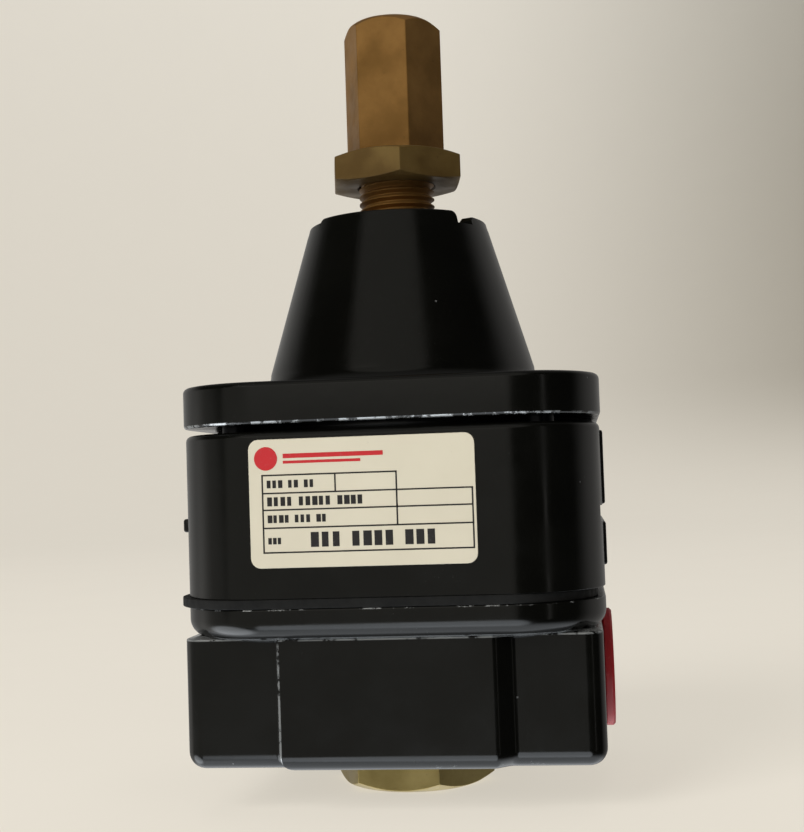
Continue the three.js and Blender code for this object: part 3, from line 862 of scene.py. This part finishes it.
def build_relay_diaphragm():
    low, high = span("relay_diaphragm", Z)
    out = middle("relay_diaphragm", X)
    square = square_corners(BODY_HALF, BODY_HALF, CORNER_RADIUS)
    corners = [(x + out, y, r) for x, y, r in square]
    levels = edge_up(low, 0.12, 2) + edge_down(high, 0.12, 2)
    sheet = stack("relay_diaphragm_sheet", corners, levels, 20)
    hole = turned("hole", [
        (0, low - 1), (HUB_HOLE_RADIUS, low - 1), (HUB_HOLE_RADIUS, high + 1), (0, high + 1)], 48)
    combine(sheet, [hole], "DIFFERENCE")
    finish_piece(sheet, RUBBER, "root", ["relay_diaphragm"])


def build_control_diaphragm():
    low, high = span("control_diaphragm", Z)
    radius = span("control_diaphragm", X)[1]
    rim = (high - low) / 2
    profile = [(HUB_HOLE_RADIUS, low), (radius - rim, low), (radius, low + rim),
               (radius - rim, high), (HUB_HOLE_RADIUS, high)]
    sheet = turned("control_diaphragm_sheet", profile, 128, closed=True)
    finish_piece(sheet, RUBBER, "root", ["control_diaphragm"])


def build_corner_screw(index, x, y):
    top = HEAD_TOP
    screw = turned(f"corner_screw_{index}_steel", [
        (0, 13), (1.6, 13), (1.95, 13.5), (1.95, SCREW_SEAT), (HEAD_RADIUS, SCREW_SEAT),
        (HEAD_RADIUS, top - 0.35), (HEAD_RADIUS - 0.12, top - 0.1), (HEAD_RADIUS - 0.4, top),
        (0, top)], 48)
    socket = stack("socket", hex_corners(3, 0, 0.05), [(top - 1.8, 0), (top + 1, 0)], 2)
    mouth = turned("mouth", [
        (0, top - 0.3), (1.5, top - 0.3), (2.0, top + 0.2), (0, top + 0.2)], 32)
    combine(screw, [socket, mouth], "DIFFERENCE")
    shift(screw, x, y)
    finish_piece(screw, BLACK_STEEL, "root", [f"corner_screw_{index}"])


def build_gauge_plug():
    low, high = span("gauge_port_plug", Y)
    radius = half_width("gauge_port_plug", X)
    plug = turned("gauge_port_plug_steel", [
        (0, low), (radius, low), (radius, high - 0.5), (radius - 0.4, high), (0, high)], 48)
    socket = stack("socket", hex_corners(5, 0, 0.08), [(high - 3.7, 0), (high + 1, 0)], 2)
    combine(plug, [socket], "DIFFERENCE")
    along_y(plug, PORT_Z)
    finish_piece(plug, STEEL, "root", ["gauge_port_plug"])


def build_outlet_plug():
    """A push-in transit plug: thin flange, hollow tapered neck with two sealing ribs."""
    inner, outer = PORT_PLUG_X
    face = outer - 1.4
    rim = PORT_PLUG_RADIUS
    plug = turned("outlet_port_plug_red", [
        (0, inner), (4.5, inner), (4.9, inner + 0.4), (5.1, inner + 2), (5.35, inner + 2.4),
        (5.15, inner + 2.8), (5.25, inner + 4.6), (5.45, inner + 5), (5.3, inner + 5.4),
        (5.4, face), (rim - 0.2, face), (rim, face + 0.25), (rim, outer - 0.3),
        (rim - 0.3, outer), (4.8, outer), (4.4, outer - 0.3), (3.9, inner + 1.2),
        (3.6, inner + 0.9), (0, inner + 0.9)], 96)
    nick = stack("nick", [
        (rim - 0.35, -0.5, 0.1), (rim + 1, -1.0, 0.1), (rim + 1, 0.9, 0.1), (rim - 0.35, 0.4, 0.1)],
        [(face + 0.5, 0), (outer + 1, 0)], 2)
    combine(plug, [nick], "DIFFERENCE")
    along_x(plug)
    finish_piece(plug, RED, "outlet_plug", ["outlet_port_plug"])


def build_seal():
    """The rubber ring round the bottom plug."""
    low, high = span("bottom_plug_seal", Z)
    wire = (high - low) / 2
    radius = span("bottom_plug_seal", X)[1] - wire
    turns = [2 * math.pi * k / 20 for k in range(20)]
    profile = [(radius + wire * math.cos(a), (low + high) / 2 + wire * math.sin(a)) for a in turns]
    ring = turned("bottom_plug_seal_ring", profile, 96, closed=True)
    finish_piece(ring, RUBBER, "root", ["bottom_plug_seal"])


def build_spring(node, wire, turns, foot_room):
    """A coil in the CAD spring's place; it stays put and does not follow the body it pushes."""
    low, high = span(node, Z)
    low += foot_room
    radius = span(node, X)[1] - wire
    steps, sides = turns * 36, 12
    rings = []
    for i in range(steps + 1):
        angle = 2 * math.pi * turns * i / steps
        z = low + wire + (high - low - 2 * wire) * i / steps
        ring = []
        for k in range(sides):
            around = 2 * math.pi * k / sides
            out = radius + wire * math.cos(around)
            ring.append((out * math.cos(angle), out * math.sin(angle), z + wire * math.sin(around)))
        rings.append(ring)
    spring = loft(f"{node}_coil", rings)
    spring.data.materials.append(SPRING)
    spring.data.shade_smooth()
    spring.data.set_sharp_from_angle(angle=math.radians(40))
    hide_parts(node)
    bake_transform(spring)


# ---------- Label ----------
# Places on the label are fractions of its width (u) and height (v) from its top left corner.

PRINT_FOOT, PRINT_FACE = 0.004, 0.016  # how far the print's back and face stand off the film
LINE_HALF_U, LINE_HALF_V = 0.0036, 0.006
TABLE_LEFT, TABLE_SPLIT, TABLE_RIGHT = 0.06, 0.655, 0.985
ROW_LINES = (0.28, 0.42, 0.55, 0.69, 0.88)
FIRST_ROW_SPLIT = 0.385
DISC_CENTRE, DISC_RADII = (0.078, 0.15), (0.052, 0.092)
HEADING_BARS = ((0.155, 0.115, 0.60, 0.15), (0.155, 0.17, 0.50, 0.192))

# Rows of plain blocks where a filled-in table has words: (u, v, height, blocks in each group)
WORDS = (
    (0.08, 0.35, 0.06, (3, 2, 2)),
    (0.08, 0.485, 0.07, (4, 5, 4)),
    (0.08, 0.62, 0.06, (4, 3, 2)),
    (0.08, 0.79, 0.05, (3,)),
    (0.27, 0.785, 0.115, (3, 4, 3)),
)


def on_label(u, v, lift):
    """A point over the label's face."""
    x = LABEL_X[0] + u * (LABEL_X[1] - LABEL_X[0])
    z = LABEL_Z[1] - v * (LABEL_Z[1] - LABEL_Z[0])
    return (x, LABEL_FACE - lift, z)


def build_label():
    corners = square_corners(half_width("rating_label", X), half_width("rating_label", Z), 1.3)
    depth = LABEL_BACK - LABEL_FACE
    film = stack("rating_label_film", corners, [(0, 0)] + edge_down(depth, 0.06, 2), 10)
    move(film, Matrix.Rotation(QUARTER_TURN, 4, "X"))
    shift(film, sum(LABEL_X) / 2, LABEL_FACE + depth, sum(LABEL_Z) / 2)
    finish_piece(film, FILM, "root", ["rating_label"])
    printed("label_table", table_lines(), INK)
    printed("label_dashes", [shape for row in WORDS for shape in dashes(*row)], INK)
    printed("label_disc", [disc_outline()], RED_INK)
    printed("label_bars", [bar(*place) for place in HEADING_BARS], RED_INK)


def printed(name, shapes, material):
    """Thin raised print on the label: each shape is a list of (u, v) corners."""
    vertices, faces = [], []
    for shape in shapes:
        start, count = len(vertices), len(shape)
        for lift in (PRINT_FOOT, PRINT_FACE):
            vertices += [on_label(u, v, lift) for u, v in shape]
        faces.append(tuple(range(start, start + count)))
        faces.append(tuple(range(start + count, start + 2 * count)))
        for i in range(count):
            j = (i + 1) % count
            faces.append((start + i, start + j, start + count + j, start + count + i))
    obj = mesh_object(name, vertices, faces)
    obj.data.materials.append(material)
    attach(obj, "root")


def bar(u0, v0, u1, v1):
    return [(u0, v1), (u1, v1), (u1, v0), (u0, v0)]


def across(v, u0, u1):
    return bar(u0 - LINE_HALF_U, v - LINE_HALF_V, u1 + LINE_HALF_U, v + LINE_HALF_V)


def down(u, v0, v1):
    return bar(u - LINE_HALF_U, v0, u + LINE_HALF_U, v1)


def table_lines():
    top, second, third, last, bottom = ROW_LINES
    return [across(top, TABLE_LEFT, TABLE_SPLIT), across(second, TABLE_LEFT, TABLE_RIGHT),
            across(third, TABLE_LEFT, TABLE_RIGHT), across(last, TABLE_LEFT, TABLE_RIGHT),
            across(bottom, TABLE_LEFT, TABLE_RIGHT), down(TABLE_LEFT, top, bottom),
            down(FIRST_ROW_SPLIT, top, second), down(TABLE_SPLIT, top, last),
            down(TABLE_RIGHT, second, bottom)]


def disc_outline():
    angles = [k * math.pi / 20 for k in range(40)]
    return [(DISC_CENTRE[0] + DISC_RADII[0] * math.cos(a),
             DISC_CENTRE[1] + DISC_RADII[1] * math.sin(a)) for a in angles]


def dashes(u, v, height, groups):
    """One row of blocks of slightly different widths. They spell nothing."""
    shapes = []
    width = height * 0.36
    for count in groups:
        for _ in range(count):
            wide = width * random.uniform(0.7, 1.0)
            shapes.append(bar(u, v - height / 2, u + wide, v + height / 2))
            u += width * 1.18
        u += width * 0.9
    return shapes


# ---------- Inner pieces that keep their CAD shape ----------

INNER_MATERIALS = {
    "main_valve": INNER_BRASS, "valve_disc": RUBBER,
    "relay_hub": INNER_BRASS, "relay_lower_plate": ALUMINIUM,
    "relay_upper_plate": ALUMINIUM, "relay_nut": STEEL,
    "pilot_nozzle": INNER_BRASS, "pilot_restrictor": INNER_BRASS,
    "control_hub": INNER_BRASS, "control_lower_plate": ALUMINIUM,
    "control_upper_plate": ALUMINIUM, "control_nut": STEEL,
    "spring_rest": STEEL,
}


def dress_inner_nodes():
    for node, material in INNER_MATERIALS.items():
        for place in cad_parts[node].material_slots:
            place.material = material


# ---------- Studio ----------

CAMERA_PLACE = (24.54, -199.92, 42.47)
CAMERA_TURN = 7.09  # degrees that the view turns to its left of straight on
CAMERA_TILT = 2.76  # degrees that it looks up
CAMERA_ROLL = 1.91
CAMERA_LENS = 59.8

# The backdrop, in metres: where its floor ends, where its wall stands and how high that is
FLOOR_RADIUS, WALL_RADIUS, WALL_HEIGHT = 0.9, 1.7, 3.0
FLOOR_RINGS = (0.05, 0.15, 0.4, FLOOR_RADIUS)
SWEEP_SEGMENTS = 96
SWEEP_BEND_STEPS = 16
PAPER = ((0.26, 0.25, 0.235, 1), (0.28, 0.27, 0.25, 1))
# Emission colours of the backdrop: painted light, and painted shade towards the right
PAPER_LIT, PAPER_SHADED = (0.60, 0.56, 0.485, 1), (0.08, 0.065, 0.035, 1)

# Soft glows round the object: (direction, cosines where it starts and is full, colour, strength)
GLOWS = (
    ((-0.10, -0.81, 0.57), 0.82, 0.90, (1.0, 0.97, 0.88), 0.26),
    ((-0.42, -0.90, -0.05), 0.83, 0.89, (1.0, 0.97, 0.88), 0.25),
    ((-0.93, -0.10, -0.35), 0.80, 0.93, (1.0, 0.97, 0.90), 0.24),
    ((-0.72, 0.66, -0.22), 0.60, 0.92, (1.0, 0.98, 0.94), 0.34),
    ((0.50, 0.87, -0.10), 0.45, 0.85, (1.0, 0.97, 0.92), 0.26),
    ((0.0, -0.80, -0.60), 0.93, 0.972, (0.88, 0.94, 1.0), 2.1),
    ((-0.68, -0.22, -0.68), 0.88, 0.95, (0.90, 0.95, 1.0), 2.6),
    ((0.0, 0.10, -0.99), 0.50, 0.85, (0.90, 0.95, 1.0), 1.3),
    ((0.0, 0.2, 0.98), 0.60, 0.95, (1.0, 0.98, 0.95), 0.12),
)
FAINT_LIGHT = (0.015, 0.015, 0.014)
LIGHT_COLOUR = (1, 0.97, 0.92)
LIGHT_TARGET = (0, 0, 0.05)


def build_camera():
    turn, tilt, roll = (math.radians(v) for v in (CAMERA_TURN, CAMERA_TILT, CAMERA_ROLL))
    ahead = Vector((-math.sin(turn) * math.cos(tilt), math.cos(turn) * math.cos(tilt),
                    math.sin(tilt)))
    right = Vector((math.cos(turn), math.sin(turn), 0))
    up = right.cross(ahead)
    rolled_right = right * math.cos(roll) - up * math.sin(roll)
    rolled_up = right * math.sin(roll) + up * math.cos(roll)
    matrix = Matrix((rolled_right, rolled_up, -ahead)).transposed().to_4x4()
    matrix.translation = Vector(CAMERA_PLACE) * MM
    data = bpy.data.cameras.new("camera")
    data.lens = CAMERA_LENS
    data.sensor_width = 36
    data.clip_start = 0.01
    camera = bpy.data.objects.new("camera", data)
    camera.matrix_world = matrix
    scene.collection.objects.link(camera)
    scene.camera = camera


def sweep_mesh():
    """A floor that curves up into a wall all the way round."""
    rise = WALL_RADIUS - FLOOR_RADIUS
    profile = [(r, 0) for r in FLOOR_RINGS]
    profile += [(FLOOR_RADIUS + rise * math.sin(a), rise * (1 - math.cos(a)))
                for a in quarter(SWEEP_BEND_STEPS)[1:]]
    profile.append((WALL_RADIUS, WALL_HEIGHT))
    count = SWEEP_SEGMENTS
    vertices = [(0, 0, 0)]
    for r, z in profile:
        vertices += [tuple(c / MM for c in point) for point in circle(r, z, count)]
    faces = [(0, 1 + i, 1 + (i + 1) % count) for i in range(count)]
    for k in range(len(profile) - 1):
        a, b = 1 + k * count, 1 + (k + 1) * count
        for i in range(count):
            j = (i + 1) % count
            faces.append((a + i, b + i, b + j, a + j))
    return mesh_object("studio_sweep", vertices, faces)


def build_sweep():
    """The pale backdrop, seen but not mirrored. It glows with painted light, and painted shade
    darkens its wall towards the right.
    """
    sweep = sweep_mesh()
    s = Shader("studio_paper", Roughness=0.9, Specular_IOR_Level=0.1)
    s.set("Base Color", s.mix(s.noise(40, 4), *PAPER))
    # Painted shade: the backdrop's glow darkens towards the right, above the floor
    side = s.fade(s.axis("X"), -0.25, 0.70)
    above_floor = s.fade(s.axis("Z"), -0.02, 0.16)
    s.set("Emission Color", s.mix(s.times(side, above_floor), PAPER_LIT, PAPER_SHADED))
    s.principled.inputs["Emission Strength"].default_value = 1.0
    sweep.data.materials.append(s.material)
    sweep.data.shade_smooth()
    sweep.visible_glossy = False
    sweep.visible_diffuse = False
    sweep.visible_shadow = False


def build_world():
    """Surroundings seen only as reflections: the sum of the soft glows and a faint even light."""
    world = bpy.data.worlds.new("studio_world")
    scene.world = world
    world.use_nodes = True
    tree = world.node_tree

    def vector_math(operation):
        made = tree.nodes.new("ShaderNodeVectorMath")
        made.operation = operation
        return made

    direction_seen = tree.nodes.new("ShaderNodeTexCoord").outputs["Generated"]
    total = None
    for direction, start, full, colour, strength in GLOWS:
        towards = vector_math("DOT_PRODUCT")
        tree.links.new(direction_seen, towards.inputs[0])
        towards.inputs[1].default_value = Vector(direction).normalized()
        ramp = tree.nodes.new("ShaderNodeMapRange")
        ramp.interpolation_type = "SMOOTHSTEP"
        limits = {"From Min": start, "From Max": full, "To Min": 0.0, "To Max": strength}
        for socket, value in limits.items():
            ramp.inputs[socket].default_value = value
        tree.links.new(towards.outputs["Value"], ramp.inputs["Value"])
        tint = vector_math("SCALE")
        tint.inputs[0].default_value = colour
        tree.links.new(ramp.outputs["Result"], tint.inputs["Scale"])
        add = vector_math("ADD")
        tree.links.new(tint.outputs["Vector"], add.inputs[0])
        if total is None:
            add.inputs[1].default_value = FAINT_LIGHT
        else:
            tree.links.new(total, add.inputs[1])
        total = add.outputs["Vector"]
    tree.links.new(total, tree.nodes["Background"].inputs["Color"])


def area_light(name, place, size, power, mirrored=False):
    """A rectangular light aimed at the object, with its place and size in metres."""
    data = bpy.data.lights.new(name, "AREA")
    data.shape = "RECTANGLE"
    data.size, data.size_y = size
    data.energy = power
    data.color = LIGHT_COLOUR
    light = bpy.data.objects.new(name, data)
    light.location = place
    aim = Vector(LIGHT_TARGET) - Vector(place)
    light.rotation_euler = aim.to_track_quat("-Z", "Y").to_euler()
    light.visible_glossy = mirrored
    scene.collection.objects.link(light)


def build_lights():
    area_light("key", (-0.60, -0.85, 0.65), (0.6, 0.6), 11.5)
    area_light("top", (0.0, 0.15, 1.2), (0.9, 0.9), 2.6)
    area_light("fill", (0.80, -0.80, 0.40), (0.6, 0.6), 2.2)
    area_light("strip", (0.75, -0.72, 0.05), (0.05, 0.8), 0.06, mirrored=True)


# ---------- Build ----------

build_camera()
build_sweep()
build_world()
build_lights()

build_lower_body()
build_middle_body()
build_bonnet()
build_adjusting_screw()
build_lock_nut()
build_bottom_plug()
build_relay_diaphragm()
build_control_diaphragm()
for number, (sign_x, sign_y) in enumerate(SQUARE_SIGNS, start=1):
    build_corner_screw(number, sign_x * SCREW_SPREAD, sign_y * SCREW_SPREAD)
build_gauge_plug()
build_outlet_plug()
build_seal()
build_spring("range_spring", wire=0.6, turns=7, foot_room=0.45)
build_spring("valve_spring", wire=0.35, turns=6, foot_room=0.0)
build_label()
dress_inner_nodes()

scene.view_settings.view_transform = "Standard"
